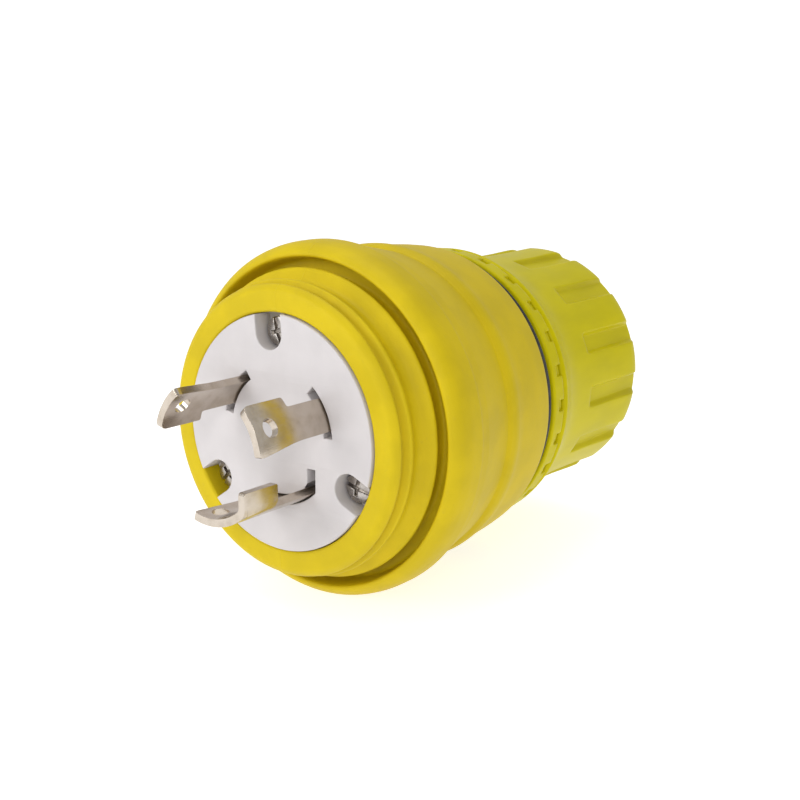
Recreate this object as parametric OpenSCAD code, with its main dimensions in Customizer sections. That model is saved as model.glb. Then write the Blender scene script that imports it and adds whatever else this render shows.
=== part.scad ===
// Watertight twist-lock plug: three curved blades, rubber boot, compression gland.
// +Y runs from the mating face (Y = 0) to the cord end, +Z is up.
// Angles are measured from +X towards +Z, as seen from the front (looking along +Y).

/* [Mating face] */
// Radius of the white insulating face
face_r = 23.5; // [22.5:0.5:25]
// Thickness of the face disc in front of the gasket
face_t = 7; // [6:0.25:8]
// Angle of the first screw notch
notch_angle = 95; // [90:1:100]
// Distance of the assembly screws from the axis
notch_pcr = 19.7; // [19:0.1:20]
// Width of a screw notch
notch_w = 6.6; // [6.4:0.1:7]
// Depth of the screw notches
notch_depth = 4.5; // [4:0.1:5]

/* [Blades] */
// Radius of the middle of the curved blades
blade_r = 13; // [12.5:0.1:14]
// Thickness of the blade metal
blade_t = 1.6; // [1.3:0.1:1.9]
// How far the blades stand out of the face
blade_len = 18.8; // [15:0.1:22]
// Length of a blade's locking head, back from its tip
head_len = 10.2; // [8:0.1:12]
// Angle of the line blade
line_angle = 26; // [24:1:28]
// Angle of the neutral blade
neutral_angle = 146; // [144:1:148]
// Angle of the ground blade
ground_angle = 279; // [278:1:280]
// Angle from a power blade's middle to its neck's clockwise edge
neck_cw = 15.5; // [14:0.5:16]
// Angle from a power blade's middle to its neck's anticlockwise edge
neck_ccw = 12.5; // [11:0.5:13]
// Angle from a power blade's middle to its head's clockwise edge
head_cw = 20.5; // [19:0.5:21]
// Angle from a power blade's middle to its head's anticlockwise edge
head_ccw = 21.5; // [20:0.5:22]
// Extra angle of the ground blade on its clockwise side
ground_extra_cw = 6; // [4:0.5:7]
// Extra angle of the ground blade on its anticlockwise side
ground_extra_ccw = 11; // [8:0.5:12]
// Angle from the ground blade's middle back to its hole
ground_hole_cw = 13; // [0:1:16]
// Height of the ground blade's inward hook
hook_h = 3.8; // [3:0.1:4.5]
// Length of the ground blade's inward hook
hook_len = 8.8; // [7:0.1:10]
// Radius of the hole near a blade's tip
tip_hole_r = 1.7; // [1.2:0.1:2]
// Distance of that hole from the tip
tip_hole_y = 4; // [3.5:0.1:5]

/* [Boot] */
// Outer radius of the boot's front ring
nose_r = 29; // [28.5:0.5:30]
// Outer radius of the sealing rib nearest the skirt
seal_rib_r = 31.4; // [31:0.1:31.8]
// Distance of that rib from the face
seal_rib_y = 9.8; // [9.6:0.1:10.4]
// Largest radius of the skirt
skirt_r = 36.3; // [35.8:0.1:38]
// Thickness of the skirt at its lip
skirt_wall = 2.6; // [2.2:0.1:2.8]
// Distance of the skirt's lip from the face
skirt_y = 9.9; // [9.6:0.1:10.6]
// How far the groove behind the lip runs back
groove_depth = 4.5; // [3.5:0.5:8]
// Radius of the barrel behind the skirt
barrel_r = 33.9; // [33.4:0.1:34.6]
// Radius of the boot's rear edge
boot_end_r = 32.3; // [32:0.1:33]
// Distance of the boot's rear edge from the face
boot_end_y = 48.5; // [47.5:0.5:50]

/* [Housing] */
// Outer radius of the housing's front sleeve
sleeve_r = 25.4; // [25.2:0.1:26]
// Wall of the housing
house_wall = 2.4; // [2:0.1:2.6]
// Outer radius of the housing's wiring chamber
chamber_r = 30; // [29.5:0.1:30.4]
// Outer radius of the notched flange
flange_r = 31.2; // [30.8:0.1:31.6]
// Length of the notched flange
flange_len = 4.1; // [3.7:0.1:5]
// Number of notches round the flange
flange_notches = 26; // [20:1:28]
// Width of a flange notch
flange_notch_w = 2.4; // [2:0.1:2.8]
// Radius of the threaded neck at its crests
neck_r = 23.6; // [23:0.1:24]
// Length of the threaded neck
neck_len = 28; // [26:0.5:30]
// Radius of the cord passage through the neck
passage_r = 16.5; // [15:0.5:17]

/* [Compression gland] */
// Outer radius of the cord grommet
grommet_r = 19; // [18:0.1:19.5]
// Length of the cord grommet
grommet_len = 20; // [18:0.5:21]
// Radius of the cord hole in the grommet
cord_r = 7.5; // [6:0.5:8.5]
// Thickness of the slip ring
slip_t = 2; // [1.5:0.1:2.5]
// Radius of the nut's front edge
nut_front_r = 31; // [30.5:0.1:31.4]
// Radius of the nut's grip
nut_r = 27.6; // [27.2:0.1:28.2]
// Length of the nut
nut_len = 40.4; // [39:0.2:42]
// Number of grip grooves on the nut
nut_grooves = 14; // [12:1:16]
// Width of a grip groove
groove_w = 5.2; // [4.4:0.1:6]
// Depth of a grip groove
groove_cut = 1.2; // [1:0.1:1.8]
// Length of the grip grooves
groove_len = 23; // [18:0.5:26]

/* [Terminals] */
// Distance of the terminal screws from the axis
terminal_r = 17.6; // [17.2:0.1:18]
// Radius of a terminal screw's thread
terminal_screw_r = 1.8; // [1.6:0.05:2]
// Radius of a terminal screw's head
terminal_head_r = 3.3; // [3:0.1:3.5]
// Opening under a clamp plate for the wire
wire_gap = 2.9; // [2.4:0.1:3.2]
// Thickness of a clamp plate
clamp_t = 1.6; // [1.3:0.1:1.9]

/* [Fasteners] */
// Radius of an assembly screw's thread
screw_r = 1.7; // [1.5:0.05:1.8]
// Radius of an assembly screw's head
screw_head_r = 2.9; // [2.6:0.1:3]
// Height of an assembly screw's head
screw_head_h = 2.1; // [1.8:0.1:2.3]
// Length of a threaded insert
insert_len = 8; // [6:0.5:9]

/* [Fits] */
// Gap between a turning part and what it turns in
running = 0.05; // [0.03:0.01:0.08]
// Gap between parts that are pressed or clamped together
seat = 0.15; // [0.1:0.01:0.2]
// Gap round a shank, a blade or a tab in its hole
hole_clear = 0.2; // [0.15:0.01:0.25]

/* [Hidden] */

$fn = 96;
cut = 1;                       // how far a cutting shape runs past what it cuts
rim = 0.4;                     // how far the boot's ring lies behind the face
lip_overlap = 1.5;             // width of the boot's lip over the gasket

// Axial stations, from the front to the rear
gasket_y = face_t + seat;
gasket_t = 1.6;
house_y = gasket_y + gasket_t + seat;
spigot_end = house_y + 0.4;
base_y = spigot_end + seat;
base_t = 10.8;
foot_y = base_y + base_t;
foot_t = blade_t;
post_end = foot_y + 6;
boss_y = post_end + seat;
groove_end = skirt_y + groove_depth;
flare_y = skirt_y + 14.2;
flare_len = 3;
chamber_y = flare_y + flare_len;
waist_y = boot_end_y + 0.1;
waist_len = 3.2;
flange_y = waist_y + waist_len;
neck_y = flange_y + flange_len;
neck_end = neck_y + neck_len;
grommet_end = neck_end + 0.15;
grommet_y = grommet_end - grommet_len;
slip_y = grommet_end + seat;
nut_y = neck_y + 0.6;
nut_end = nut_y + nut_len;
nut_floor = slip_y + slip_t + seat;
nut_wall = 4.5;

// Radii that follow from the fits
spigot_r = sleeve_r - house_wall - 0.3;
sleeve_bore = sleeve_r - house_wall;
chamber_bore = chamber_r - house_wall;
ring_r = 1.15;
waist_r = chamber_r - 1.3;
neck_bore = grommet_r + seat;
nut_bore = neck_r + running;
boss_r = 3.8;
insert_r = 3;
post_r = 2.9;
barrier_t = 2;
barrier_h = 8;
clamp_y = foot_y + foot_t + wire_gap;
head_y = clamp_y + clamp_t + running;
terminal_screw_tip = foot_y - 4.6;
blade_in = blade_r - blade_t / 2;
blade_out = blade_r + blade_t / 2;
foot_half = 4.5;
foot_end_r = terminal_r + 3.9;
ground_cw = head_cw + ground_extra_cw;
ground_ccw = head_ccw + ground_extra_ccw;
hook_x = blade_r * cos(ground_angle + ground_ccw);
hook_z = blade_r * sin(ground_angle + ground_ccw);
screw_turns = [0, 120, 240];

function round_end(r, y, edge, from, to, steps = 5) =
    [for (i = [0:steps]) let (a = from + (to - from) * i / steps) [r + edge * cos(a), y + edge * sin(a)]];

// A profile of [radius, y] points turned about the plug's axis
module spun(profile)
    rotate([-90, 0, 0])
        rotate_extrude()
            polygon(profile);

module tube(r0, r1, y0, y1)
    spun([[r0, y0], [r1, y0], [r1, y1], [r0, y1]]);

module rod(r, y0, y1)
    translate([0, y0, 0])
        rotate([-90, 0, 0])
            cylinder(r = r, h = y1 - y0);

// Local X runs outwards at this angle, local Z runs anticlockwise round the axis
module at_angle(a)
    rotate([0, -a, 0])
        children();

// A curved plate between two angles and two stations, as thick as a blade plus a clearance
module arc_plate(a0, a1, y0, y1, grow = 0)
    rotate([-90, 0, 0])
        rotate([0, 0, -a1])
            rotate_extrude(angle = a1 - a0)
                translate([blade_in - grow, y0])
                    square([blade_t + 2 * grow, y1 - y0]);

// A flat outline of [sideways, y] points, run through the blade's thickness
module through_blade(outline)
    translate([blade_out + cut, 0, 0])
        rotate([0, -90, 0])
            linear_extrude(blade_t + 2 * cut)
                polygon(outline);

module screw_places()
    for (turn = screw_turns)
        at_angle(notch_angle + turn)
            translate([notch_pcr, 0, 0])
                children();

// ---- boot ----

function boot_outside() = concat(
    [[nose_r - 5, rim]],
    round_end(nose_r - 1.2, rim + 1.2, 1.2, -90, 0),
    [[nose_r, 2.0],
     [nose_r - 0.8, 2.4],
     [nose_r - 1.0, 2.9],
     [nose_r - 0.7, 3.4],
     [nose_r + 0.5, 3.9],
     [nose_r + 0.7, 4.4],
     [nose_r + 0.5, 5.0],
     [nose_r, 5.7],
     [nose_r - 0.3, 6.8],
     [nose_r, 7.8],
     [nose_r + 0.9, seal_rib_y - 1.3],
     [seal_rib_r - 0.3, seal_rib_y - 0.6],
     [seal_rib_r, seal_rib_y],
     [seal_rib_r - 0.3, seal_rib_y + 0.5],
     [nose_r + 1.0, seal_rib_y + 1.5],
     [nose_r + 0.5, seal_rib_y + 2.6],
     [nose_r + 0.5, groove_end]],
    [[skirt_r - skirt_wall - 1.1, groove_end],
     [skirt_r - skirt_wall - 0.7, skirt_y + 2],
     [skirt_r - skirt_wall - 0.4, skirt_y + 0.4],
     [skirt_r - skirt_wall, skirt_y],
     [skirt_r - skirt_wall + 0.6, skirt_y + 0.1],
     [skirt_r - 1.1, skirt_y + 1.0],
     [skirt_r - 0.4, skirt_y + 2.2],
     [skirt_r, skirt_y + 4.2],
     [skirt_r, skirt_y + 7.6],
     [skirt_r - 0.2, skirt_y + 8.1],
     [skirt_r - 0.8, skirt_y + 8.6],
     [skirt_r - 1.1, skirt_y + 11.4]],
    [[barrel_r + 0.1, chamber_y - 0.4],
     [barrel_r - 0.7, chamber_y + 3.8],
     [barrel_r - 0.1, chamber_y + 4.5],
     [barrel_r + 0.2, chamber_y + 5.5],
     [barrel_r + 0.2, chamber_y + 6.5],
     [barrel_r - 0.1, chamber_y + 7.7],
     [barrel_r - 0.3, chamber_y + 8.9],
     [boot_end_r + 0.7, boot_end_y - 5.4],
     [boot_end_r + 0.2, boot_end_y - 1.4],
     [boot_end_r - 0.2, boot_end_y - 0.5],
     [boot_end_r - 0.9, boot_end_y]]);

module boot()
    color("gold")
        spun(concat(
            boot_outside(),
            [[chamber_r + seat, boot_end_y],
             [chamber_r + seat, chamber_y],
             [sleeve_r + seat, flare_y],
             [sleeve_r + seat, gasket_y - seat / 2],
             [face_r + seat, gasket_y - seat / 2],
             [face_r + seat, rim + 0.4],
             [face_r + seat + 0.4, rim]]));

// ---- housing ----

module housing_shell()
    spun([[sleeve_bore, house_y],
          [sleeve_r, house_y],
          [sleeve_r, flare_y],
          [chamber_r, chamber_y],
          [chamber_r, waist_y],
          [waist_r, waist_y],
          [waist_r, flange_y],
          [flange_r - 0.5, flange_y],
          [flange_r, flange_y + 0.5],
          [flange_r, neck_y - 0.4],
          [flange_r - 0.4, neck_y],
          [neck_r, neck_y],
          [neck_r, neck_end - 1],
          [neck_r - 1, neck_end],
          [neck_bore, neck_end],
          [neck_bore, grommet_y - seat],
          [passage_r, grommet_y - seat],
          [passage_r, flange_y + 2],
          [chamber_bore, waist_y - 3],
          [chamber_bore, chamber_y + 0.6],
          [sleeve_bore, flare_y + 0.6]]);

// A boss against the chamber wall that takes one assembly screw
module boss(y0, y1) {
    rod(boss_r, y0, y1);
    translate([0, y0, -2])
        cube([chamber_bore + 0.5 - notch_pcr, y1 - y0, 4]);
}

module housing()
    color("yellow")
        difference() {
            union() {
                housing_shell();
                screw_places()
                    boss(boss_y, waist_y + 1);
            }
            for (i = [0:flange_notches - 1])
                at_angle(360 / flange_notches * i)
                    translate([flange_r - 0.9, neck_y - 2, -flange_notch_w / 2])
                        cube([0.9 + cut, 2 + cut, flange_notch_w]);
            screw_places() {
                rod(insert_r + running, boss_y - cut, boss_y + insert_len + 0.3);
                rod(screw_r + hole_clear, boss_y + insert_len, boss_y + insert_len + 3);
            }
        }

// ---- insulators ----

module face()
    color("white")
        difference() {
            spun([[0, 0],
                  [face_r - 0.5, 0],
                  [face_r, 0.5],
                  [face_r, face_t],
                  [spigot_r, face_t],
                  [spigot_r, spigot_end],
                  [0, spigot_end]]);
            screw_places() {
                rod(notch_w / 2, -cut, notch_depth);
                translate([0, -cut, -notch_w / 2])
                    cube([face_r, notch_depth + cut, notch_w]);
                rod(screw_r + hole_clear, 0, spigot_end + cut);
            }
            blade_slots(-cut, spigot_end + cut);
        }

// Slots as wide as the blade heads, which pass through them in assembly
module blade_slots(y0, y1) {
    for (a = [line_angle, neutral_angle])
        arc_plate(a - head_cw - 1, a + head_ccw + 1, y0, y1, hole_clear);
    arc_plate(ground_angle - ground_cw - 1, ground_angle + ground_ccw, y0, y1, hole_clear);
    translate([hook_x - blade_t / 2 - hole_clear, y0, hook_z - blade_t / 2 - hole_clear])
        cube([blade_t + 2 * hole_clear, y1 - y0, hook_h + blade_t / 2 + 2 * hole_clear]);
}

module terminal_body()
    color("ivory")
        difference() {
            union() {
                rod(spigot_r, base_y, foot_y);
                screw_places()
                    rod(post_r, foot_y - 1, post_end);
                for (turn = screw_turns)
                    at_angle(notch_angle + turn)
                        translate([0, foot_y - 1, -barrier_t / 2])
                            cube([notch_pcr - boss_r - 1, barrier_h + 1, barrier_t]);
            }
            blade_slots(base_y - cut, foot_y + cut);
            screw_places()
                rod(screw_r + hole_clear, base_y - cut, post_end + cut);
            for (a = [line_angle, neutral_angle, ground_angle])
                at_angle(a)
                    translate([terminal_r, 0, 0])
                        rod(terminal_screw_r + 0.4, terminal_screw_tip - wire_gap - 0.5, foot_y + cut);
        }

// ---- blades ----

// One curved plate cut to a wide locking head and a narrower stem, with a terminal foot
module blade_blank(a, neck0, neck1, head0, head1) {
    difference() {
        arc_plate(a - head0, a + head1, -blade_len, foot_y + foot_t - 0.3);
        at_angle(a) {
            through_blade([[-blade_r * sin(head0) - 2, 1.2 - blade_len],
                           [-blade_r * sin(head0) - 0.3, 1.2 - blade_len],
                           [-blade_r * sin(neck0), head_len - blade_len],
                           [-blade_r * sin(neck0), foot_y + foot_t],
                           [-blade_r * sin(head0) - 2, foot_y + foot_t]]);
            through_blade([[blade_r * sin(neck1), head_len - blade_len],
                           [blade_r * sin(neck1), foot_y + foot_t],
                           [blade_r * sin(head1) + 2, foot_y + foot_t],
                           [blade_r * sin(head1) + 2, head_len - blade_len]]);
        }
    }
    at_angle(a)
        translate([blade_in + 0.2, foot_y + running, -foot_half])
            cube([foot_end_r - blade_in - 0.2, foot_t - running, 2 * foot_half]);
}

module blade_holes(a, hole_cw = 0) {
    at_angle(a - hole_cw)
        translate([blade_r, tip_hole_y - blade_len, 0])
            rotate([0, 90, 0])
                cylinder(r = tip_hole_r, h = 2 * blade_t + 2, center = true);
    at_angle(a)
        translate([terminal_r, 0, 0])
            rod(terminal_screw_r + running, foot_y - cut, foot_y + foot_t + cut);
}

module power_blade(a)
    color("silver")
        difference() {
            blade_blank(a, neck_cw, neck_ccw, head_cw, head_ccw);
            blade_holes(a);
            at_angle(a)
                through_blade([[blade_r * sin(head_ccw) - 1.6, -blade_len - cut],
                               [blade_r * sin(head_ccw) + 2, -blade_len - cut],
                               [blade_r * sin(head_ccw) + 2, 3.6 - blade_len],
                               [blade_r * sin(head_ccw) - 1.6, -blade_len]]);
        }

module line_blade() power_blade(line_angle);

module neutral_blade() power_blade(neutral_angle);

// The ground blade is wider and carries an inward hook on its head
module ground_blade()
    color("silver")
        difference() {
            union() {
                blade_blank(ground_angle, neck_cw + ground_extra_cw, ground_ccw - 1.5,
                            ground_cw, ground_ccw);
                translate([hook_x - blade_t / 2, 0.2 - blade_len, hook_z - blade_t / 2])
                    cube([blade_t, hook_len - 0.2, hook_h + blade_t / 2]);
            }
            blade_holes(ground_angle, ground_hole_cw);
        }

// ---- terminals ----

module clamp_plate(a)
    color("goldenrod")
        at_angle(a)
            difference() {
                translate([blade_out + 0.4, clamp_y, -foot_half + 0.2])
                    cube([foot_end_r - blade_out - 0.6, clamp_t, 2 * foot_half - 0.4]);
                translate([terminal_r, 0, 0])
                    rod(terminal_screw_r + running, clamp_y - cut, clamp_y + clamp_t + cut);
            }

module line_clamp() clamp_plate(line_angle);

module neutral_clamp() clamp_plate(neutral_angle);

module ground_clamp() clamp_plate(ground_angle);

module terminal_screw(a, tone)
    color(tone)
        at_angle(a)
            translate([terminal_r, 0, 0])
                difference() {
                    union() {
                        rod(terminal_screw_r, terminal_screw_tip, head_y + 0.1);
                        rod(terminal_head_r, head_y, head_y + 2.2);
                    }
                    translate([-terminal_head_r - cut, head_y + 1.1, -0.5])
                        cube([2 * terminal_head_r + 2 * cut, 1.1 + cut, 1]);
                }

module line_screw() terminal_screw(line_angle, "goldenrod");

module neutral_screw() terminal_screw(neutral_angle, "silver");

module ground_screw() terminal_screw(ground_angle, "green");

// ---- fasteners ----

module pan_head(y0)
    spun([[0, y0],
          [screw_head_r - 1.3, y0 + 0.1],
          [screw_head_r - 0.6, y0 + 0.35],
          [screw_head_r - 0.15, y0 + 0.8],
          [screw_head_r, y0 + 1.3],
          [screw_head_r, y0 + screw_head_h],
          [0, y0 + screw_head_h]]);

// Slotted and crossed pan heads, seated on the notches' floors
module assembly_screws()
    color("silver")
        screw_places()
            difference() {
                union() {
                    rod(screw_r, notch_depth - 0.1, boss_y + insert_len - 0.6);
                    pan_head(notch_depth - screw_head_h);
                }
                translate([-screw_head_r - cut, notch_depth - screw_head_h - cut, -0.4])
                    cube([2 * screw_head_r + 2 * cut, 1 + cut, 0.8]);
                translate([-0.4, notch_depth - screw_head_h - cut, -1.7])
                    cube([0.8, 1.2 + cut, 3.4]);
            }

module threaded_inserts()
    color("goldenrod")
        screw_places()
            tube(screw_r + running, insert_r, boss_y + 0.1, boss_y + insert_len);

// ---- seals ----

module face_gasket()
    color("dimgray")
        tube(spigot_r + hole_clear, sleeve_r, gasket_y, gasket_y + gasket_t);

module o_ring()
    color("dimgray")
        rotate([-90, 0, 0])
            rotate_extrude()
                translate([waist_r + ring_r + 0.1, waist_y + waist_len / 2])
                    circle(r = ring_r);

module grommet()
    color("dimgray")
        spun([[cord_r, grommet_y],
              [grommet_r - 1.5, grommet_y],
              [grommet_r, grommet_y + 1.5],
              [grommet_r, grommet_end],
              [cord_r + 1, grommet_end],
              [cord_r, grommet_end - 1]]);

// ---- gland nut ----

module slip_ring()
    color("whitesmoke")
        tube(cord_r + 2, neck_r - 0.8, slip_y, slip_y + slip_t);

function nut_outside() = concat(
    [[nut_bore + 0.8, nut_y],
     [nut_front_r - 0.7, nut_y],
     [nut_front_r, nut_y + 0.8],
     [nut_front_r - 0.1, nut_y + 1.5],
     [nut_r + 1.1, nut_y + 6],
     [nut_r + 0.2, nut_y + 10],
     [nut_r, nut_y + 16],
     [nut_r, nut_y + 26],
     [nut_r + 0.3, nut_end - 6]],
    round_end(nut_r - 2.7, nut_end - 3, 3, 0, 90));

module nut()
    color("yellow")
        difference() {
            spun(concat(
                nut_outside(),
                [[nut_r - 5.2, nut_end],
                 [cord_r + 5.5, nut_floor + nut_wall],
                 [cord_r + 5, nut_floor + nut_wall - 1],
                 [cord_r + 5, nut_floor],
                 [nut_bore, nut_floor],
                 [nut_bore, nut_y + 0.8]]));
            for (i = [0:nut_grooves - 1])
                at_angle(360 / nut_grooves * i - 4.6)
                    translate([nut_r, nut_end - groove_len, 0])
                        rotate([-90, 0, 0])
                            linear_extrude(groove_len + cut)
                                polygon([[-groove_cut, -groove_w / 2 + 1],
                                         [-groove_cut, groove_w / 2 - 1],
                                         [0, groove_w / 2],
                                         [3, groove_w / 2 + 1.5],
                                         [3, -groove_w / 2 - 1.5],
                                         [0, -groove_w / 2]]);
        }

boot();
housing();
face();
face_gasket();
terminal_body();
line_blade();
neutral_blade();
ground_blade();
line_clamp();
neutral_clamp();
ground_clamp();
line_screw();
neutral_screw();
ground_screw();
assembly_screws();
threaded_inserts();
o_ring();
grommet();
slip_ring();
nut();
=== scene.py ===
"""Looks of a watertight twist-lock plug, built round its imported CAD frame.

Lengths are in millimetres until a mesh is made. +Y runs from the mating face to the cord end and
+Z is up. Angles are in degrees from +X towards +Z, as seen from the front.
"""

import math

import bmesh
import bpy
import numpy as np
from mathutils import Matrix, Vector


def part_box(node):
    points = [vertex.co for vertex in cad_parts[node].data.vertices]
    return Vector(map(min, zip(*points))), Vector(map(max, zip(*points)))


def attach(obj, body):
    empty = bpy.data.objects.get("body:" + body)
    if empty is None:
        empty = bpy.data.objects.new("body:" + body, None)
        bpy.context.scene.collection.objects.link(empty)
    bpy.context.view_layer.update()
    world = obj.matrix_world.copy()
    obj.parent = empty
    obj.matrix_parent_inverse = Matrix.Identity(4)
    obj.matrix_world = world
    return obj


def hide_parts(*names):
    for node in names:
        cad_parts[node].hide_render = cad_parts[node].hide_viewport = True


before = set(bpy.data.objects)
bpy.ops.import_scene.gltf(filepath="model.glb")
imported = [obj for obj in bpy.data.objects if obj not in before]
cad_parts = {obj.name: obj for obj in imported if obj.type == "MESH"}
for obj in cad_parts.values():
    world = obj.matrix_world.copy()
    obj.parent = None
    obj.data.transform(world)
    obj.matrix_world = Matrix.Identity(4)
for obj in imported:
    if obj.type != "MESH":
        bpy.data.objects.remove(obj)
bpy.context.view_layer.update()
MM = 0.001


def span(node):
    """First and last station of a CAD node along Y, and its largest radius."""
    low, high = (np.array(corner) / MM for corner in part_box(node))
    return low[1], high[1], high[0]


# ---------------------------------------------------------------- places taken from the frame

BOOT_FRONT, BOOT_END, SKIRT_R = span("boot")
FACE_FRONT, FACE_END, FACE_R = span("face")
HOUSE_FRONT, NECK_END, FLANGE_R = span("housing")
NUT_FRONT, NUT_END, NUT_FRONT_R = span("nut")
GROMMET_FRONT, GROMMET_END, GROMMET_R = span("grommet")
SLIP_FRONT, SLIP_END, SLIP_R = span("slip_ring")
SEAL_FRONT, SEAL_END, SEAL_R = span("o_ring")
BLADE_TIP, FOOT_END, _ = span("line_blade")
SCREW_FRONT, SCREW_END, _ = span("assembly_screws")

NOSE_R = 29.0
CHAMBER_R = 30.0
CHAMBER_FRONT = 27.1
CHAMBER_END = 48.6
SLEEVE_R = 25.4
SLEEVE_END = 24.1
HOUSE_WALL = 2.4
WAIST_R = CHAMBER_R - 1.3
PASSAGE_R = 16.5
SEAT_GAP = 0.15
NECK_R = 23.6
THREAD_PITCH = 4.0
THREAD_DEPTH = 1.1
NUT_THREAD_DEPTH = 0.9
NUT_R = 27.6
NUT_GROOVES = 14
GROOVE_W = 5.2
GROOVE_CUT = 1.2
GROOVE_PHASE = 4.6
GROOVE_LEN = 23.0
FLANGE_NOTCHES = 26
FLANGE_FRONT = 51.8
FLANGE_NOTCH_W = 2.4
FLANGE_NOTCH_DEPTH = 0.9
FLANGE_NOTCH_LEN = 2.0
NECK_FRONT = 55.9

NOTCH_ANGLES = (95.0, 215.0, 335.0)
SCREW_CIRCLE_R = 19.7
NOTCH_W = 6.6
NOTCH_DEPTH = 4.5

BLADE_R = 13.0
BLADE_T = 1.6
HEAD_LEN = 10.2
SHEET_RINGS = 24
FOOT_RINGS = 5
LINE, NEUTRAL, GROUND = 26.0, 146.0, 279.0
TERMINAL_R = 17.6
FOOT_FRONT = FOOT_END - BLADE_T


# ---------------------------------------------------------------- outlines and surfaces

def eased(corners, ease, steps=5):
    """Closed outline with rounded corners.

    Near a corner P the outline is (1-t)^2 A + 2t(1-t) P + t^2 B, where A and B lie `ease` before and
    after P on its two edges, and at most 45% of the way along them.
    """
    corner = np.asarray(corners, float)
    before, after = np.roll(corner, 1, 0) - corner, np.roll(corner, -1, 0) - corner
    long_before, long_after = (np.linalg.norm(edge, axis=1, keepdims=True) for edge in (before, after))
    ease = np.broadcast_to(np.asarray(ease, float), (len(corner),))[:, None]
    start = corner + before / long_before * np.minimum(ease, 0.45 * long_before)
    end = corner + after / long_after * np.minimum(ease, 0.45 * long_after)
    t = np.linspace(0, 1, steps)[None, :, None]
    curve = (1 - t) ** 2 * start[:, None] + 2 * t * (1 - t) * corner[:, None] + t ** 2 * end[:, None]
    return curve.reshape(-1, 2)


def filled(outline, longest):
    """The same closed outline with points added, so that no step is longer than longest(r, y)."""
    after = np.roll(outline, -1, 0)
    middle, step = (outline + after) / 2, np.linalg.norm(after - outline, axis=1)
    parts = np.maximum(1, np.ceil(step / longest(middle[:, 0], middle[:, 1]))).astype(int)
    index = np.repeat(np.arange(len(outline)), parts)
    share = (np.arange(parts.sum()) - np.repeat(np.cumsum(parts) - parts, parts)) / parts[index]
    return outline[index] + (after[index] - outline[index]) * share[:, None]


def grid_faces(rows, columns, close_rows=True):
    """Quads of a grid numbered row by row. Its last column joins the first, and its rows may too."""
    i = np.arange(rows if close_rows else rows - 1)[:, None]
    j = np.arange(columns)[None, :]
    i2, j2 = (i + 1) % rows, (j + 1) % columns
    corners = [i * columns + j, i * columns + j2, i2 * columns + j2, i2 * columns + j]
    return np.stack(corners, -1).reshape(-1, 4)


def outward(points, faces):
    """The faces, turned round if the closed surface's signed volume is negative."""
    a, b, c, d = (points[faces[:, k]] for k in range(4))
    volume = np.einsum("ij,ij->i", a, np.cross(b, c)).sum() + np.einsum("ij,ij->i", a, np.cross(c, d)).sum()
    return faces if volume > 0 else faces[:, ::-1]


def turned(outline, angles, shape=None):
    """Ring with this cross-section: (r, y) at angle t goes to (r cos t, y, r sin t).

    shape(r, y, t) may first change r, for grooves and threads. Both parameters close.
    """
    t = np.radians(np.asarray(angles, float))[None, :]
    r, y = outline[:, 0][:, None] + 0 * t, outline[:, 1][:, None] + 0 * t
    r = r if shape is None else shape(r, y, np.degrees(t) + 0 * r)
    points = np.stack([r * np.cos(t), y, r * np.sin(t)], -1).reshape(-1, 3)
    return points, outward(points, grid_faces(len(outline), t.size))


def whole_turn(count):
    """Evenly spaced angles round a full turn."""
    return np.arange(count) * 360.0 / count


def clocked(count, half_width, samples=(0, 0.5, 0.86, 0.96, 1.0, 1.04, 1.14)):
    """Angles round a full turn, crowded where each of `count` evenly spaced cuts has its two walls."""
    pitch = 360.0 / count
    near = np.asarray(samples) * half_width
    far = np.linspace(near[-1], pitch / 2, 4)[1:]
    side = np.concatenate([near, far])
    one = np.unique(np.concatenate([side, -side[1:-1]]).round(6))
    return (np.arange(count)[:, None] * pitch + one[None, :]).ravel()


def smooth_step(x, low, high):
    """0 below low, 1 above high, 3s^2 - 2s^3 between."""
    s = np.clip((x - low) / (high - low), 0, 1)
    return s * s * (3 - 2 * s)


def tooth(phase):
    """Trapezoid wave: 0 at a thread's root and 1 at its crest, with a flat third on each."""
    return np.clip(1.5 - 3 * np.abs(2 * (phase % 1) - 1), 0, 1)


def piece(name, shells, body, finish, replaces, smooth=50):
    """One object from (points in mm, faces) shells, riding on a body and standing for CAD nodes."""
    counts = np.cumsum([0] + [len(points) for points, _ in shells])
    points = np.concatenate([points for points, _ in shells]) * MM
    faces = [face for (_, quads), start in zip(shells, counts) for face in (quads + start).tolist()]
    mesh = bpy.data.meshes.new(name)
    mesh.from_pydata(points, [], faces)
    mesh.update()
    return adopt(name, mesh, body, finish, replaces, smooth)


def adopt(name, mesh, body, finish, replaces, smooth):
    thing = bpy.data.objects.new(name, mesh)
    bpy.context.collection.objects.link(thing)
    mesh.materials.append(finish)
    mesh.polygons.foreach_set("use_smooth", np.ones(len(mesh.polygons), bool))
    mesh.set_sharp_from_angle(angle=math.radians(smooth))
    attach(thing, body)
    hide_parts(*replaces)
    return thing


def joined(name, shells, body, finish, replaces):
    """One object from shells of triangles and quads, with doubles merged and normals outward."""
    starts = np.cumsum([0] + [len(points) for points, _ in shells]).tolist()
    faces = [[start + corner for corner in face]
             for (_, own), start in zip(shells, starts) for face in own if len(set(face)) > 2]
    mesh = bpy.data.meshes.new(name)
    mesh.from_pydata(np.concatenate([points for points, _ in shells]) * MM, [], faces)
    work = bmesh.new()
    work.from_mesh(mesh)
    bmesh.ops.remove_doubles(work, verts=work.verts, dist=0.002 * MM)
    bmesh.ops.recalc_face_normals(work, faces=work.faces)
    work.to_mesh(mesh)
    work.free()
    adopt(name, mesh, body, finish, replaces, 40)


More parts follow.
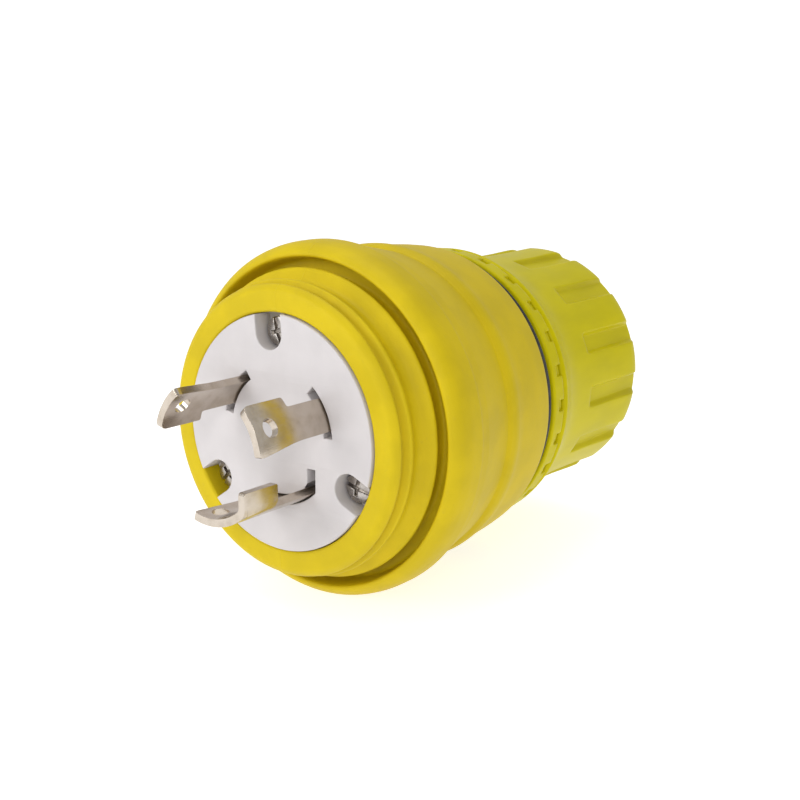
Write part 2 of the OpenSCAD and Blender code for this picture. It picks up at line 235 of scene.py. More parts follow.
def plate(outlines, front, back, ease):
    """Flat plate with rounded edges between two stations, from closed outlines of (x, z) points.

    The first outline is its rim and the others are holes. The rim is drawn in by `ease` and pushed
    out again by a round bevel of that depth.
    """
    curve = bpy.data.curves.new("plate", "CURVE")
    curve.dimensions = "2D"
    curve.fill_mode = "BOTH"
    curve.extrude = (back - front) / 2 - ease
    curve.bevel_depth = ease
    curve.bevel_resolution = 2
    for outline in outlines:
        spline = curve.splines.new("POLY")
        spline.points.add(len(outline) - 1)
        flat = np.column_stack([outline, np.zeros(len(outline)), np.ones(len(outline))])
        spline.points.foreach_set("co", flat.ravel())
        spline.use_cyclic_u = True
    holder = bpy.data.objects.new("plate", curve)
    bpy.context.collection.objects.link(holder)
    mesh = bpy.data.meshes.new_from_object(holder.evaluated_get(bpy.context.evaluated_depsgraph_get()))
    bpy.data.objects.remove(holder)
    points = np.zeros(len(mesh.vertices) * 3)
    mesh.vertices.foreach_get("co", points)
    x, z, y = points.reshape(-1, 3).T
    placed = np.column_stack([x, y + (front + back) / 2, z])
    faces = [tuple(face.vertices)[::-1] for face in mesh.polygons]
    bpy.data.meshes.remove(mesh)
    return placed, faces


def inset(outline, depth):
    """The outline moved inwards by depth: each point goes along the mean of its two edges' normals."""
    ahead, behind = np.roll(outline, -1, 0) - outline, outline - np.roll(outline, 1, 0)
    normal = sum(np.column_stack([-edge[:, 1], edge[:, 0]]) / np.linalg.norm(edge, axis=1, keepdims=True)
                 for edge in (ahead, behind))
    normal /= np.linalg.norm(normal, axis=1, keepdims=True)
    cosine = np.einsum("ij,ij->i", normal, np.column_stack([-ahead[:, 1], ahead[:, 0]])
                       / np.linalg.norm(ahead, axis=1, keepdims=True))
    return outline + normal * (depth / np.maximum(cosine, 0.5))[:, None]


def circle(x, z, r, count=48):
    """Outline of a circle about (x, z)."""
    t = np.radians(whole_turn(count))
    return np.column_stack([x + r * np.cos(t), z + r * np.sin(t)])


def polar(radius, angle):
    """(x, z) of points at this radius and these angles."""
    t = np.radians(angle)
    return np.column_stack([radius * np.cos(t), radius * np.sin(t)])


def arc_slot(low, high, inner, outer, count=24):
    """Outline of a slot bent round the axis, anticlockwise."""
    there = np.linspace(low, high, count)
    return np.concatenate([polar(outer, there), polar(inner, there[::-1])])


def mirrored(outline):
    """The same outline walked the other way, as a hole's is."""
    return outline[::-1]


def local(angle, radial, tangential):
    """(x, z) of a point given along and across the direction at this angle."""
    t = math.radians(angle)
    return np.column_stack([radial * math.cos(t) - tangential * math.sin(t),
                            radial * math.sin(t) + tangential * math.cos(t)])


def screw_centre(angle):
    """(x, z) of the assembly screw at this angle."""
    return polar(SCREW_CIRCLE_R, angle)[0]


# ---------------------------------------------------------------- finishes

class Signal:
    """The value on a socket. Arithmetic on it adds Math nodes."""

    def __init__(self, finish, socket):
        self.finish, self.socket = finish, socket

    def _math(self, operation, *terms):
        return self.finish.node("ShaderNodeMath", {"operation": operation}, dict(enumerate(terms)))

    def __add__(self, other):
        return self._math("ADD", self, other)

    def __sub__(self, other):
        return self._math("SUBTRACT", self, other)

    def __rsub__(self, other):
        return self._math("SUBTRACT", other, self)

    def __mul__(self, other):
        return self._math("MULTIPLY", self, other)

    __radd__, __rmul__ = __add__, __mul__

    def band(self, low, high):
        """0 at low, 1 at high, clamped and eased between."""
        return self.finish.node("ShaderNodeMapRange", {"interpolation_type": "SMOOTHSTEP"},
                                {"Value": self, "From Min": low, "From Max": high})


class Finish:
    """A material whose shader is filled in step by step. Patterns are in millimetres of the part."""

    def __init__(self, name, **constants):
        self.material = bpy.data.materials.new(name)
        self.material.use_nodes = True
        self.tree = self.material.node_tree
        self.shader = self.tree.nodes["Principled BSDF"]
        place = self.tree.nodes.new("ShaderNodeTexCoord")
        self.place = self.node("ShaderNodeMapping", {}, {"Vector": Signal(self, place.outputs["Object"]),
                                                         "Scale": (1 / MM,) * 3})
        for name, value in constants.items():
            self.shader.inputs[name.replace("_", " ")].default_value = value

    def node(self, kind, settings=None, sockets=None, out=0):
        """Adds a node: its settings first, then its sockets' values or links. Returns one output."""
        made = self.tree.nodes.new(kind)
        for key, value in (settings or {}).items():
            setattr(made, key, value)
        for key, value in (sockets or {}).items():
            if isinstance(value, Signal):
                self.tree.links.new(value.socket, made.inputs[key])
            else:
                made.inputs[key].default_value = value
        return Signal(self, made.outputs[out])

    def noise(self, size, stretch=(1, 1, 1), detail=3.0):
        """Noise with features about `size` mm across, made longer along an axis by its stretch."""
        place = self.node("ShaderNodeMapping", {}, {"Vector": self.place,
                                                    "Scale": tuple(1 / (size * s) for s in stretch)})
        return self.node("ShaderNodeTexNoise", {}, {"Vector": place, "Scale": 1.0, "Detail": detail,
                                                    "Roughness": 0.5})

    def axis(self, name):
        """Place along one axis, in mm."""
        return self.node("ShaderNodeSeparateXYZ", {}, {"Vector": self.place}, name)

    def blend(self, factor, first, second):
        """Mixes two colours, given or already mixed, by a factor."""
        return self.node("ShaderNodeMix", {"data_type": "RGBA"}, {0: factor, 6: first, 7: second}, 2)

    def colour(self, signal):
        """Feeds the shader's base colour."""
        self.tree.links.new(signal.socket, self.shader.inputs["Base Color"])

    def roughness(self, signal):
        """Feeds the shader's roughness."""
        self.tree.links.new(signal.socket, self.shader.inputs["Roughness"])

    def bump(self, height, depth):
        """Raises the surface by depth mm where height is 1."""
        bumped = self.node("ShaderNodeBump", {}, {"Height": height, "Distance": depth * MM,
                                                  "Strength": 1.0})
        self.tree.links.new(bumped.socket, self.shader.inputs["Normal"])


def shade(colour, factor):
    """The colour, lighter or darker by a factor."""
    return tuple(min(1.0, c * factor) for c in colour[:3]) + (1.0,)


def boot_rubber():
    """Yellow moulded rubber: cloudy pigment, fine skin grain, and a parting line at the top and bottom."""
    rubber = Finish("boot_rubber", IOR=1.5, Specular_IOR_Level=0.18)
    yellow = (0.585, 0.44, 0.004, 1)
    cloud, grain = rubber.noise(9, detail=4), rubber.noise(0.45, detail=2)
    specks = rubber.noise(1.1, detail=1).band(0.66, 0.74)
    tint = rubber.blend(cloud.band(0.35, 0.65), shade(yellow, 0.94), shade(yellow, 1.04))
    rubber.colour(rubber.blend(specks * 0.12, tint, (0.45, 0.33, 0.03, 1)))
    rubber.roughness(0.43 + 0.12 * cloud + 0.08 * grain)
    across = rubber.axis("X")
    line = 1 - rubber.node("ShaderNodeMath", {"operation": "ABSOLUTE"}, {0: across}).band(0.05, 0.16)
    rubber.bump(grain * 0.35 + cloud * 0.4 + line * 0.7, 0.06)
    return rubber.material


def lime_nylon():
    """Lime-yellow moulded nylon: smoother and glossier than the rubber, with faint flow marks."""
    nylon = Finish("lime_nylon", IOR=1.53, Specular_IOR_Level=0.08)
    lime = (0.56, 0.485, 0.0, 1)
    flow = nylon.noise(5, stretch=(1, 3, 1), detail=3)
    grain = nylon.noise(0.3, detail=2)
    nylon.colour(nylon.blend(flow.band(0.3, 0.7), shade(lime, 0.95), shade(lime, 1.05)))
    nylon.roughness(0.27 + 0.12 * flow + 0.06 * grain)
    nylon.bump(flow * 0.5 + grain * 0.25, 0.03)
    return nylon.material


def white_plastic():
    """White insulating plastic of the face, satin, with a faint warm mottle."""
    plastic = Finish("white_plastic", IOR=1.5, Specular_IOR_Level=0.45)
    white = (0.57, 0.54, 0.54, 1)
    mottle, grain = plastic.noise(6, detail=4), plastic.noise(0.35, detail=2)
    plastic.colour(plastic.blend(mottle.band(0.3, 0.7), shade(white, 0.97), shade(white, 1.02)))
    plastic.roughness(0.36 + 0.12 * mottle)
    plastic.bump(grain * 0.5 + mottle * 0.5, 0.03)
    return plastic.material


def ivory_plastic():
    """Ivory plastic of the inner terminal body."""
    plastic = Finish("ivory_plastic", IOR=1.5)
    ivory = (0.68, 0.62, 0.47, 1)
    mottle, grain = plastic.noise(4, detail=3), plastic.noise(0.3, detail=2)
    plastic.colour(plastic.blend(mottle, shade(ivory, 0.93), shade(ivory, 1.05)))
    plastic.roughness(0.42 + 0.15 * grain)
    plastic.bump(grain, 0.03)
    return plastic.material


def black_rubber():
    """Dark seal rubber with a dull bloom."""
    rubber = Finish("black_rubber", IOR=1.5, Specular_IOR_Level=0.4)
    bloom, grain = rubber.noise(3, detail=4), rubber.noise(0.25, detail=2)
    rubber.colour(rubber.blend(bloom.band(0.4, 0.7), (0.018, 0.018, 0.019, 1), (0.05, 0.05, 0.05, 1)))
    rubber.roughness(0.5 + 0.25 * bloom)
    rubber.bump(grain, 0.05)
    return rubber.material


def metal(name, colour, dark, rough, along=(1, 14, 1)):
    """Metal with drawn lines along one axis, cloudy dulling and a fine unevenness."""
    finish = Finish(name, Metallic=1.0)
    lines = finish.noise(0.22, stretch=along, detail=2)
    haze, wave = finish.noise(2.6, detail=4), finish.noise(1.4, stretch=along, detail=1)
    finish.colour(finish.blend(haze.band(0.35, 0.75), colour, dark))
    finish.roughness(rough + 0.16 * haze * lines + 0.05 * lines)
    finish.bump(lines * 0.5 + wave * 0.8, 0.012)
    return finish.material


def slip_nylon():
    """Natural nylon of the slip ring, faintly mottled."""
    nylon = Finish("slip_nylon", IOR=1.53)
    mottle, grain = nylon.noise(3, detail=3), nylon.noise(0.3, detail=2)
    nylon.colour(nylon.blend(mottle, (0.62, 0.60, 0.55, 1), (0.72, 0.70, 0.66, 1)))
    nylon.roughness(0.35 + 0.15 * grain)
    nylon.bump(grain, 0.03)
    return nylon.material


RUBBER = boot_rubber()
LIME = lime_nylon()
WHITE = white_plastic()
IVORY = ivory_plastic()
BLACK = black_rubber()
NICKEL = metal("blade_nickel", (0.56, 0.495, 0.42, 1), (0.46, 0.395, 0.32, 1), 0.13)
ZINC = metal("zinc_plate", (0.46, 0.43, 0.40, 1), (0.28, 0.25, 0.23, 1), 0.22, along=(1, 1, 1))
BRASS = metal("terminal_brass", (0.72, 0.52, 0.22, 1), (0.55, 0.38, 0.14, 1), 0.26)
GREEN = metal("green_plate", (0.03, 0.26, 0.08, 1), (0.02, 0.16, 0.05, 1), 0.3, along=(1, 1, 1))
SLIP = slip_nylon()

for node, finish in {
    "face_gasket": BLACK, "terminal_body": IVORY, "threaded_inserts": BRASS,
    "line_clamp": BRASS, "neutral_clamp": BRASS, "ground_clamp": BRASS,
    "line_screw": BRASS, "neutral_screw": ZINC, "ground_screw": GREEN,
}.items():
    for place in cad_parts[node].material_slots:
        place.material = finish


# ---------------------------------------------------------------- rubber boot

def boot():
    """Ring turned from the boot's cross-section: nose ring, two sealing ribs, groove, flared
    skirt, waist, raised band and rear barrel outside, and the fitted bore inside."""
    y, bore_gap = BOOT_FRONT, 0.15
    outside = [
        (NOSE_R - 1.2, y), (NOSE_R, y + 1.2), (NOSE_R, 2.1), (NOSE_R - 0.95, 2.5), (NOSE_R - 0.95, 3.3),
        (NOSE_R + 0.55, 3.95), (NOSE_R + 0.7, 4.4), (NOSE_R + 0.5, 5.0), (NOSE_R, 5.7),
        (NOSE_R - 0.3, 6.8), (NOSE_R, 7.8), (NOSE_R + 0.9, 8.5), (SKIRT_R - 5.2, 9.2),
        (SKIRT_R - 4.9, 9.8), (SKIRT_R - 5.2, 10.3), (NOSE_R + 1.0, 11.3), (NOSE_R + 0.5, 12.4),
        (NOSE_R + 0.5, 14.4), (SKIRT_R - 3.7, 14.4), (SKIRT_R - 3.3, 11.9), (SKIRT_R - 3.0, 10.3),
        (SKIRT_R - 2.6, 9.9), (SKIRT_R - 2.0, 10.0), (SKIRT_R - 1.1, 10.9), (SKIRT_R - 0.4, 12.1),
        (SKIRT_R, 14.1), (SKIRT_R, 17.5), (SKIRT_R - 0.25, 18.0), (SKIRT_R - 0.8, 18.5),
        (SKIRT_R - 1.1, 21.3), (34.0, 26.7), (33.2, 30.9), (33.8, 31.6), (34.1, 32.6), (34.1, 33.6),
        (33.8, 34.8), (33.6, 36.0), (33.0, 43.1), (32.5, 47.1), (32.1, 48.0), (31.4, BOOT_END),
    ]
    chamber, sleeve, mouth, lip_end = CHAMBER_R + bore_gap, SLEEVE_R + bore_gap, FACE_R + bore_gap, 7.08
    inside = [(chamber, BOOT_END), (chamber, CHAMBER_FRONT), (sleeve, SLEEVE_END), (sleeve, lip_end),
              (mouth, lip_end), (mouth, y + 0.4), (mouth + 0.4, y)]
    ease = np.array([0.8] * len(outside) + [0.3] * len(inside))
    ease[2:6] = 0.3
    ease[29:34] = 0.3
    outline = filled(eased(outside + inside, ease), lambda r, y: 2.5 + 0 * r)
    piece("boot_skin", [turned(outline, whole_turn(256))], "plug_body", RUBBER, ["boot"])


boot()


# ---------------------------------------------------------------- housing and nut

def housing():
    """Ring turned from the housing's cross-section, with square notches in the flange's rear edge and
    a trapezoidal thread on the neck: depth = THREAD_DEPTH (1 - tooth(y / pitch - t / 360))."""
    bore, chamber, slant = SLEEVE_R - HOUSE_WALL, CHAMBER_R - HOUSE_WALL, 0.6
    seat, socket = GROMMET_FRONT - SEAT_GAP, GROMMET_R + SEAT_GAP
    profile = [
        (bore, HOUSE_FRONT), (SLEEVE_R, HOUSE_FRONT), (SLEEVE_R, SLEEVE_END), (CHAMBER_R, CHAMBER_FRONT),
        (CHAMBER_R, CHAMBER_END), (WAIST_R, CHAMBER_END), (WAIST_R, FLANGE_FRONT),
        (FLANGE_R, FLANGE_FRONT), (FLANGE_R, NECK_FRONT), (NECK_R, NECK_FRONT), (NECK_R, NECK_END - 1),
        (NECK_R - 1, NECK_END), (socket, NECK_END), (socket, seat), (PASSAGE_R, seat),
        (PASSAGE_R, FLANGE_FRONT + 2), (chamber, CHAMBER_END - 3), (chamber, CHAMBER_FRONT + slant),
        (bore, SLEEVE_END + slant),
    ]
    ease = np.full(len(profile), 0.25)
    ease[7:9] = 0.6
    on_neck = lambda r, y: (np.abs(r - NECK_R) < 0.01) & (y > NECK_FRONT)
    on_flange = lambda r, y: (r > NECK_R) & (y > NECK_FRONT - 3.2) & (y < NECK_FRONT + 0.1)
    outline = filled(eased(profile, ease, 4),
                     lambda r, y: np.where(on_neck(r, y), 0.38, np.where(on_flange(r, y), 0.32, 4.0)))

    half = math.degrees(FLANGE_NOTCH_W / 2 / FLANGE_R)
    notch_front = NECK_FRONT - FLANGE_NOTCH_LEN

    def shape(r, y, t):
        pitch = 360.0 / FLANGE_NOTCHES
        off = np.abs((t + pitch / 2) % pitch - pitch / 2)
        across = 1 - smooth_step(off, 0.93 * half, 1.07 * half)
        along = smooth_step(y, notch_front - 0.1, notch_front + 0.1)
        notched = r - across * along * np.maximum(0, r - (FLANGE_R - FLANGE_NOTCH_DEPTH))
        r = np.where(r > NECK_R + 4, notched, r)
        start = smooth_step(y, NECK_FRONT + 0.8, NECK_FRONT + 2)
        end = 1 - smooth_step(y, NECK_END - 3, NECK_END - 1.5)
        cut = THREAD_DEPTH * (start * end) * (1 - tooth(y / THREAD_PITCH - t / 360.0))
        return np.where((r > NECK_R - 0.02) & (r < NECK_R + 0.02), r - cut, r)

    boss_front, boss_end, bore_end = 26.4, 49.6, 34.7
    boss_r, insert_bore, screw_bore = 3.8, 3.05, 1.9
    boss = eased([(insert_bore, boss_front), (boss_r, boss_front), (boss_r, boss_end), (screw_bore, boss_end),
                  (screw_bore, bore_end), (insert_bore, bore_end)], 0.2, 3)
    shells = [turned(outline, clocked(FLANGE_NOTCHES, half), shape)]
    for angle in NOTCH_ANGLES:
        x, z = screw_centre(angle)
        points, faces = turned(boss, whole_turn(40))
        shells.append((points + [x, 0, z], faces))
    piece("housing_shell", shells, "plug_body", LIME, ["housing"])


def nut():
    """Ring turned from the nut's cross-section. Each grip groove lowers the outside to a flat floor,
    r = min(r, floor) with soft walls, and the bore has the neck's thread cut outwards."""
    bore, floor, opening = NECK_R + 0.05, SLIP_END + SEAT_GAP, 12.5
    outside = [
        (bore + 0.8, NUT_FRONT), (NUT_FRONT_R - 0.7, NUT_FRONT), (NUT_FRONT_R, NUT_FRONT + 0.8),
        (NUT_FRONT_R - 0.1, NUT_FRONT + 1.5), (NUT_R + 1.1, NUT_FRONT + 6), (NUT_R + 0.2, NUT_FRONT + 10),
        (NUT_R, NUT_FRONT + 16), (NUT_R, NUT_FRONT + 26), (NUT_R + 0.3, NUT_END - 6),
        (NUT_R + 0.3, NUT_END - 3), (NUT_R - 0.6, NUT_END - 0.9), (NUT_R - 2.7, NUT_END),
        (NUT_R - 5.2, NUT_END), (opening + 0.5, floor + 4.5), (opening, floor + 3.5), (opening, floor),
        (bore, floor), (bore, NUT_FRONT + 0.8),
    ]
    ease = np.array([0.3, 0.4, 0.4, 0.6, 3, 3, 3, 3, 2, 1.6, 1.6, 1.2, 1.0, 0.6, 0.4, 0.3, 0.3, 0.3])
    in_bore = lambda r, y: np.abs(r - bore) < 0.01
    in_grip = lambda r, y: (r > NUT_R - 3) & (y > NUT_END - GROOVE_LEN - 1)
    outline = filled(eased(outside, ease, 6),
                     lambda r, y: np.where(in_bore(r, y), 0.45, np.where(in_grip(r, y), 0.8, 2.5)))
    half = math.degrees(GROOVE_W / 2 / NUT_R)

    def shape(r, y, t):
        pitch = 360.0 / NUT_GROOVES
        off = np.abs((t + GROOVE_PHASE + pitch / 2) % pitch - pitch / 2)
        across = 1 - smooth_step(off, 0.62 * half, 1.02 * half)
        along = smooth_step(y, NUT_END - GROOVE_LEN - 0.3, NUT_END - GROOVE_LEN + 0.9)
        grooved = r - across * along * np.maximum(0, r - (NUT_R - GROOVE_CUT))
        start = smooth_step(y, NUT_FRONT + 1.5, NUT_FRONT + 2.5)
        end = 1 - smooth_step(y, floor - 2.5, floor - 1.5)
        threaded = r + NUT_THREAD_DEPTH * (start * end) * (1 - tooth(y / THREAD_PITCH - t / 360.0))
        return np.where(np.abs(r - bore) < 0.02, threaded, np.where(r > NUT_R - 3.5, grooved, r))

    walls = (0, 0.3, 0.6, 0.68, 0.76, 0.83, 0.9, 0.97, 1.04, 1.2)
    angles = clocked(NUT_GROOVES, half, walls) - GROOVE_PHASE
    piece("nut_shell", [turned(outline, angles, shape)], "nut_body", LIME, ["nut"])


housing()
nut()


# ---------------------------------------------------------------- seals and slip ring

def seals():
    """Grommet with three squeeze ribs in its bore, ring seal, and the slip ring with eased edges."""
    cord_r, dip, rib_pitch = 7.5, 0.35, 20 / 3
    inner_y = np.linspace(GROMMET_END - 1, GROMMET_FRONT, 37)
    wave = np.cos((inner_y - GROMMET_FRONT) / rib_pitch * 2 * math.pi)
    inner_r = cord_r + dip * (0.5 - 0.5 * wave)
    profile = np.concatenate([
        eased([(GROMMET_R - 1.5, GROMMET_FRONT), (GROMMET_R, GROMMET_FRONT + 1.5), (GROMMET_R, GROMMET_END),
               (cord_r + 1, GROMMET_END)], 0.4, 4)[2:-2],
        np.column_stack([inner_r, inner_y])])
    piece("grommet_body", [turned(profile, whole_turn(128))], "plug_body", BLACK, ["grommet"])

    thick = (SEAL_END - SEAL_FRONT) / 2
    section = circle(SEAL_R - thick, (SEAL_FRONT + SEAL_END) / 2, thick, 20)
    piece("ring_seal", [turned(section, whole_turn(160))], "plug_body", BLACK, ["o_ring"])

    hole_r = 9.5
    section = eased([(hole_r, SLIP_FRONT), (SLIP_R, SLIP_FRONT), (SLIP_R, SLIP_END), (hole_r, SLIP_END)],
                    0.35, 5)
    piece("slip_ring_body_skin", [turned(section, whole_turn(128))], "slip_ring_body",
          SLIP, ["slip_ring"])


seals()


# ---------------------------------------------------------------- insulating face

def face():
    """Three flat plates: the front one with U-shaped screw notches open to its rim, a whole one behind
    it, and the narrower spigot. All three have the blade slots, and the last two the screw holes."""
    inner, outer = BLADE_R - 1, BLADE_R + 1
    slots = [arc_slot(a - 21.5, a + 22.5, inner, outer) for a in (LINE, NEUTRAL)]
    # the ground slot turns inwards at its end, for the hook
    hook_inner, hook_outer, hook_end = 7.61, 9.61, -5.74
    hook = [(hook_outer, -10.18), (hook_outer, hook_end), (hook_inner, hook_end), (hook_inner, -9.27)]
    slots.append(np.concatenate([polar(outer, np.linspace(GROUND - 27.5, GROUND + 32.5, 26)), hook,
                                 polar(inner, np.linspace(GROUND + 30, GROUND - 27.5, 26))]))
    holes = [mirrored(slot) for slot in slots]

    ease = 0.28
    half = math.degrees(math.asin(NOTCH_W / 2 / FACE_R))
    rim = []
    for angle in NOTCH_ANGLES:
        bend = np.radians(np.linspace(90, 270, 25))
        notch = local(angle, SCREW_CIRCLE_R + NOTCH_W / 2 * np.cos(bend), NOTCH_W / 2 * np.sin(bend))
        rim.append(mirrored(notch))
        rim.append(polar(FACE_R, np.linspace(angle + half, angle + 120 - half, 60)))
    rim = np.concatenate(rim)
    front = plate([inset(rim, ease)] + [inset(hole, ease) for hole in holes],
                  FACE_FRONT, NOTCH_DEPTH + 0.3, ease)
    screws = [mirrored(circle(*screw_centre(angle), 1.9)) for angle in NOTCH_ANGLES]
    back_end, spigot_r, edge = 7.15, 22.6, 0.1
    back = plate([circle(0, 0, FACE_R - 0.1, 192)] + holes + screws, NOTCH_DEPTH, back_end, edge)
    spigot = plate([circle(0, 0, spigot_r, 192)] + holes + screws, back_end - 0.1, FACE_END, edge)
    return front, back, spigot


joined("face_plate", face(), "plug_body", WHITE, ["face"])


# ---------------------------------------------------------------- blades

def bent_strip(angle, s, y, hook_from=None):
    """Flat (s, y) goes to the blade's curved middle surface: s is the arc length from the blade's own
    angle on a circle of radius BLADE_R. Past hook_from the strip bends inwards by a radius of 1.5
    until it stands along Z, and then runs straight."""
    t = math.radians(angle) + s / BLADE_R
    x, z = BLADE_R * np.cos(t), BLADE_R * np.sin(t)
    if hook_from is not None:
        bend = 1.5
        end = math.radians(angle) + hook_from / BLADE_R
        turn = -end % (2 * math.pi)
        past = s - hook_from
        around = end + np.clip(past / bend, 0, turn)
        hx = (BLADE_R - bend) * math.cos(end) + bend * np.cos(around)
        hz = (BLADE_R - bend) * math.sin(end) + bend * np.sin(around) + np.maximum(0, past - bend * turn)
        x, z = np.where(past > 0, hx, x), np.where(past > 0, hz, z)
    return np.stack([x, y, z], -1)


def starred_sheet(outline, hole, hole_r, rings):
    """Sheet between a round hole and an outline that is star-shaped about it: along each direction the
    points run from the hole's edge (share 0) to the outline (share 1)."""
    spoke = outline - hole
    edge = hole + spoke / np.linalg.norm(spoke, axis=1, keepdims=True) * hole_r
    share = np.linspace(0, 1, rings)[:, None, None]
    return edge[None] + (outline - edge)[None] * share


def blade(name, angle, cw_neck, ccw_neck, cw_head, ccw_head, node, hole_s=0.0, hook=None):
    """Locking blade: head and stem in one sheet and the terminal foot in another, both thickened and
    with their edges rounded. Necks and heads reach cw and ccw degrees from the blade's own angle. hook
    gives where the bend starts, where the strip ends (both as arc lengths) and its rear station."""
    arc = lambda degrees: BLADE_R * math.radians(degrees)
    head_back, stem_end = BLADE_TIP + HEAD_LEN, FOOT_END - 0.8
    far, back = (arc(ccw_head), head_back) if hook is None else hook[1:]
    corners = [(-arc(cw_head), BLADE_TIP), (far, BLADE_TIP), (far, back), (arc(ccw_neck), back),
               (arc(ccw_neck), stem_end), (-arc(cw_neck), stem_end), (-arc(cw_neck), head_back),
               (-arc(cw_head), BLADE_TIP + 1.2)]
    ease = [0.9, 1.5 if hook is None else 0.6, 0.5, 0.5, 0.3, 0.3, 2.0, 0.5]
    outline = filled(eased(corners, ease, 6), lambda s, y: 0.55 + 0 * s)
    sheet = starred_sheet(outline, np.array([hole_s, BLADE_TIP + 4.0]), 1.7, SHEET_RINGS)
    stem = bent_strip(angle, sheet[..., 0].ravel(), sheet[..., 1].ravel(), None if hook is None else hook[0])
    near, out, half = TERMINAL_R - 5.2, TERMINAL_R + 3.8, 4.5
    foot_corners = [(near, -half), (out, -half), (out, half), (near, half)]
    foot_outline = filled(eased(foot_corners, [0.3, 1, 1, 0.3], 5), lambda s, y: 0.6 + 0 * s)
    foot = starred_sheet(foot_outline, np.array([TERMINAL_R, 0.0]), 1.87, FOOT_RINGS).reshape(-1, 2)
    flat = local(angle, foot[:, 0], foot[:, 1])
    foot = np.column_stack([flat[:, 0], np.full(len(flat), (FOOT_FRONT + FOOT_END) / 2 + 0.02), flat[:, 1]])
    shells = [(stem, grid_faces(SHEET_RINGS, len(outline), close_rows=False)),
              (foot, grid_faces(FOOT_RINGS, len(foot_outline), close_rows=False))]
    made = piece(name, shells, "plug_body", NICKEL, [node], 30)
    thick = made.modifiers.new("thickness", "SOLIDIFY")
    thick.thickness, thick.offset, thick.use_even_offset = (BLADE_T - 0.06) * MM, 0, True
    soft = made.modifiers.new("edges", "BEVEL")
    soft.width, soft.segments, soft.limit_method, soft.angle_limit = 0.28 * MM, 3, "ANGLE", math.radians(50)
    soft.harden_normals = True


blade("line_blade_strip", LINE, 15.5, 12.5, 20.5, 21.5, "line_blade")
blade("neutral_blade_strip", NEUTRAL, 15.5, 12.5, 20.5, 21.5, "neutral_blade")
blade("ground_blade_strip", GROUND, 21.5, 31, 26.5, 32.5, "ground_blade", hole_s=-2.95,
      hook=(6.63, 11.09, BLADE_TIP + 8.8))


# ---------------------------------------------------------------- assembly screws

def screw_shells(angle):
    """Pan head with a long slot and a short cross arm, over a shank with a fine thread.

    The head is a disc under two half discs, their straight sides along the slot. Its crown falls by
    0.45 (distance / radius)^2.
    """
    head_r, slot, arm, reach = 2.9, 0.4, 0.4, 1.7
    low = math.degrees(math.asin(slot / head_r))
    bend = np.linspace(low, 180 - low, 31)
    half = np.concatenate([polar(head_r, bend),
                           [(-arm, slot), (-arm, reach), (arm, reach), (arm, slot)]])
    tops = [plate([inset(outline, 0.14)], SCREW_FRONT, SCREW_FRONT + 1.2, 0.14)
            for outline in (half, -half)]
    under = plate([circle(0, 0, head_r - 0.3, 48)], SCREW_FRONT + 1.0, NOTCH_DEPTH, 0.3)
    run = np.linspace(NOTCH_DEPTH - 0.1, SCREW_END, 90)
    core, thread_front, pitch = 0.4, 12, 0.794
    shank = np.column_stack([np.full(90, 1.7), run])
    outline = np.concatenate([[(core, SCREW_END)], [(core, NOTCH_DEPTH - 0.1)], shank])

    def threaded(r, y, t):
        return np.where(r > 1, r - 0.25 * (1 - tooth(y / pitch - t / 360.0)) * (y > thread_front), r)

    shells = tops + [under, turned(outline, whole_turn(20), threaded)]
    x, z = screw_centre(angle)
    placed = []
    for points, faces in shells:
        points = points.copy()
        crown = 0.45 * np.minimum(1, (points[:, 0] ** 2 + points[:, 2] ** 2) / head_r ** 2)
        points[:, 1] += crown * np.clip((NOTCH_DEPTH - 0.6 - points[:, 1]) / 1.5, 0, 1)
        spun = local(angle + 12, points[:, 0], points[:, 2])
        placed.append((np.column_stack([spun[:, 0] + x, points[:, 1], spun[:, 1] + z]),
                       [tuple(face) for face in faces]))
    return placed


joined("assembly_screw_set", [shell for angle in NOTCH_ANGLES for shell in screw_shells(angle)], "plug_body",
       ZINC, ["assembly_screws"])


# ---------------------------------------------------------------- studio

def sky_light(front):
    """White surroundings that fall to a dim grey on the side the object is seen from. The camera
    itself sees plain white."""
    world = bpy.data.worlds.new("studio")
    world.use_nodes = True
    nodes, links = world.node_tree.nodes, world.node_tree.links
    place = nodes.new("ShaderNodeTexCoord")
    toward = nodes.new("ShaderNodeVectorMath")
    toward.operation = "DOT_PRODUCT"
    toward.inputs[1].default_value = front
    fall = nodes.new("ShaderNodeMapRange")
    fall.interpolation_type = "SMOOTHSTEP"
    for key, value in {"From Min": 0.05, "From Max": 0.75, "To Min": 0.66, "To Max": 0.36}.items():
        fall.inputs[key].default_value = value
    links.new(place.outputs["Generated"], toward.inputs[0])
    links.new(toward.outputs["Value"], fall.inputs["Value"])
    path = nodes.new("ShaderNodeLightPath")
    seen, brighter = nodes.new("ShaderNodeMath"), nodes.new("ShaderNodeMath")
    seen.operation, brighter.operation = "MULTIPLY", "MAXIMUM"
    seen.inputs[1].default_value = 1.3
    links.new(path.outputs["Is Camera Ray"], seen.inputs[0])
    links.new(seen.outputs[0], brighter.inputs[0])
    links.new(fall.outputs["Result"], brighter.inputs[1])
    links.new(brighter.outputs[0], nodes["Background"].inputs["Strength"])
    nodes["Background"].inputs["Color"].default_value = (1, 1, 1, 1)
    bpy.context.scene.world = world


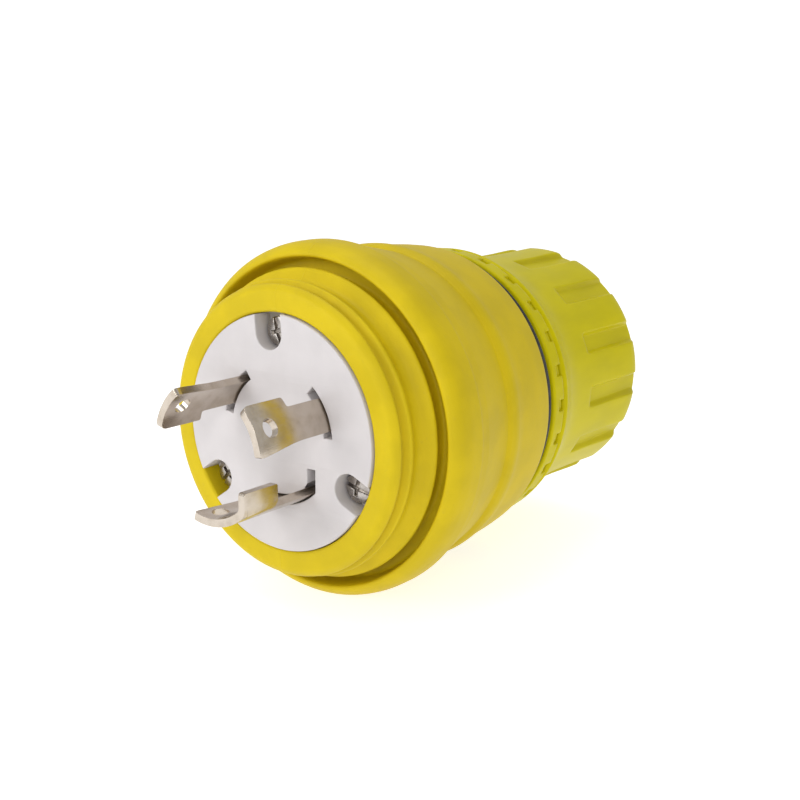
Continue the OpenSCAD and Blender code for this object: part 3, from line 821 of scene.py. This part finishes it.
def studio():
    """Pale floor under the skirt, soft lights, and a camera a little above and to the right."""
    azimuth, elevation = math.radians(37.63), math.radians(12.86)
    half = 3000.0
    floor = -SKIRT_R
    square = ((-half, -half), (half, -half), (half, half), (-half, half))
    corners = np.array([(x, y, floor) for x, y in square])
    mesh = bpy.data.meshes.new("floor")
    mesh.from_pydata(corners * MM, [], [(0, 1, 2, 3)])
    ground = bpy.data.objects.new("floor", mesh)
    bpy.context.collection.objects.link(ground)
    paper = Finish("floor_paper", IOR=1.4)
    paper.colour(paper.blend(paper.noise(40, detail=2), (0.55, 0.55, 0.56, 1), (0.57, 0.57, 0.58, 1)))
    paper.shader.inputs["Roughness"].default_value = 0.7
    paper.shader.inputs["Emission Color"].default_value = (1, 1, 1, 1)
    paper.shader.inputs["Emission Strength"].default_value = 0.72
    mesh.materials.append(paper.material)

    sky_light(Vector((math.sin(azimuth), -math.cos(azimuth), 0)))

    def softbox(name, place, aim, size, power):
        lamp = bpy.data.lights.new(name, "AREA")
        lamp.shape, lamp.size, lamp.energy = "DISK", size * MM, power
        holder = bpy.data.objects.new(name, lamp)
        bpy.context.collection.objects.link(holder)
        holder.location = Vector(place) * MM
        holder.rotation_euler = (Vector(aim) - Vector(place)).to_track_quat("-Z", "Y").to_euler()

    softbox("overhead", (-60, 0, 620), (0, 30, 0), 420, 1.0)
    softbox("front_left", (-220, -520, 230), (0, 10, 0), 340, 1.4)
    softbox("front_right", (330, -480, 260), (0, 40, 0), 200, 0.9)

    ahead = Vector((-math.sin(azimuth) * math.cos(elevation), math.cos(azimuth) * math.cos(elevation),
                    -math.sin(elevation)))
    right = Vector((math.cos(azimuth), math.sin(azimuth), 0))
    up = right.cross(ahead)
    camera = bpy.data.objects.new("camera", bpy.data.cameras.new("camera"))
    bpy.context.collection.objects.link(camera)
    camera.data.lens, camera.data.sensor_width = 58.5, 36.0
    camera.data.clip_start, camera.data.clip_end = 0.01, 20.0
    camera.matrix_world = Matrix.LocRotScale(
        (right * 23.85 + up * 6.56 - ahead * 251.6) * MM, Matrix((right, up, -ahead)).transposed(), None)
    bpy.context.scene.camera = camera
    bpy.context.scene.view_settings.view_transform = "Standard"


studio()
